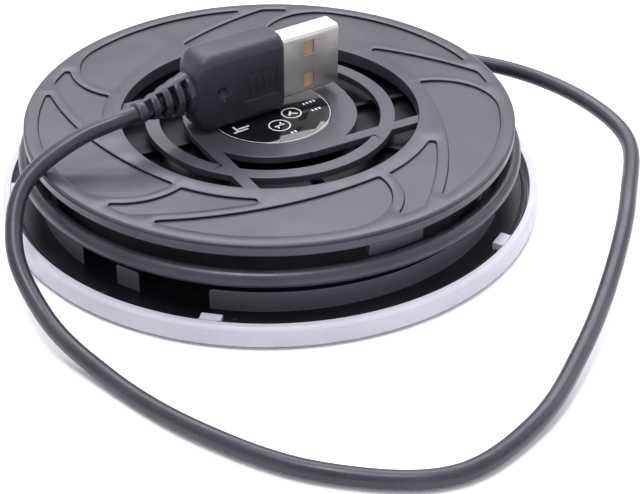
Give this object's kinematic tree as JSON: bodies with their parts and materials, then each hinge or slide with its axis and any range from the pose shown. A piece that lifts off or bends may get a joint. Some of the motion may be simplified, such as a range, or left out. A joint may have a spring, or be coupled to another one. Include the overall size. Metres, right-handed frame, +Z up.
{
  "type": "usb hub",
  "caption": "Round desktop USB hub lying on its port face, with a swirl-patterned spool flange, the cord wound in its groove, a loose loop and the plug resting on the grille.",
  "frame": {"origin": "centre of the flat port face that the hub rests on", "axes": "+Z up along the hub's axis towards the spool flange; +Y away from the loose loop; the plug points towards +X and +Y"},
  "size_m": [0.117, 0.1345, 0.032],
  "materials": {
    "black_plastic": "satin black moulded plastic with a fine grain",
    "label_film": null,
    "ring_plastic": "pale lavender translucent plastic, satin",
    "board_green": "green solder mask",
    "nickel_shell": "nickel plated sheet steel",
    "white_insulator": "white moulded nylon",
    "tan_insulator": "tan moulded insulator",
    "contact_gold": "gold flashed contacts",
    "chip_black": "moulded chip package",
    "can_metal": "drawn metal can",
    "led_lens": "clear lens",
    "clear_guide": "clear moulded light guide",
    "screw_steel": "zinc plated steel",
    "grommet_rubber": "moulded rubber",
    "cord_jacket": "dark grey satin PVC",
    "wire_jacket": "thin coloured wire insulation",
    "plug_body": "matt charcoal overmould with a fine texture"
  },
  "bodies": {
    "hub": {"base_flange": "black_plastic", "spool_shell": "black_plastic", "port_cover": "black_plastic", "rating_label": "label_film", "trim_ring": "ring_plastic", "circuit_board": "board_green", "port_shells": "nickel_shell", "port_tongues": "white_insulator", "wire_header": "white_insulator", "port_contacts": "contact_gold", "hub_chip": "chip_black", "crystal": "can_metal", "capacitors": "can_metal", "power_led": "led_lens", "light_pipe": "clear_guide", "flange_screws": "screw_steel", "board_screws": "screw_steel", "clamp_screws": "screw_steel", "cord_clamp": "screw_steel", "cord_grommet": "grommet_rubber", "wound_cord": "cord_jacket", "cord_tail": "cord_jacket", "wire_leads": "wire_jacket"},
    "cord_bend": {"cord_lead": "cord_jacket"},
    "free_cord": {"loose_cord": "cord_jacket", "cord_boot": "cord_jacket"},
    "plug": {"plug_overmold": "plug_body", "plug_shell": "nickel_shell", "plug_insulator": "tan_insulator", "plug_contacts": "contact_gold"}
  },
  "joints": [
    {"name": "cord_swing", "type": "hinge", "parent": "hub", "child": "cord_bend", "pos_m": [0.02994, 0.03527, 0.0108], "axis": [-0.1045, 0, 0.9945], "range_deg": [0, 45]},
    {"name": "cord_lift", "type": "hinge", "parent": "cord_bend", "child": "free_cord", "pos_m": [0.04272, 0.02958, 0.0108], "axis": [-1, 0, 0], "range_deg": [0, 75]},
    {"name": "plug_flex", "type": "hinge", "parent": "free_cord", "child": "plug", "pos_m": [-0.01461, -0.00607, 0.0244], "axis": [0, 0, 1], "range_deg": [-20, 20]}
  ]
}
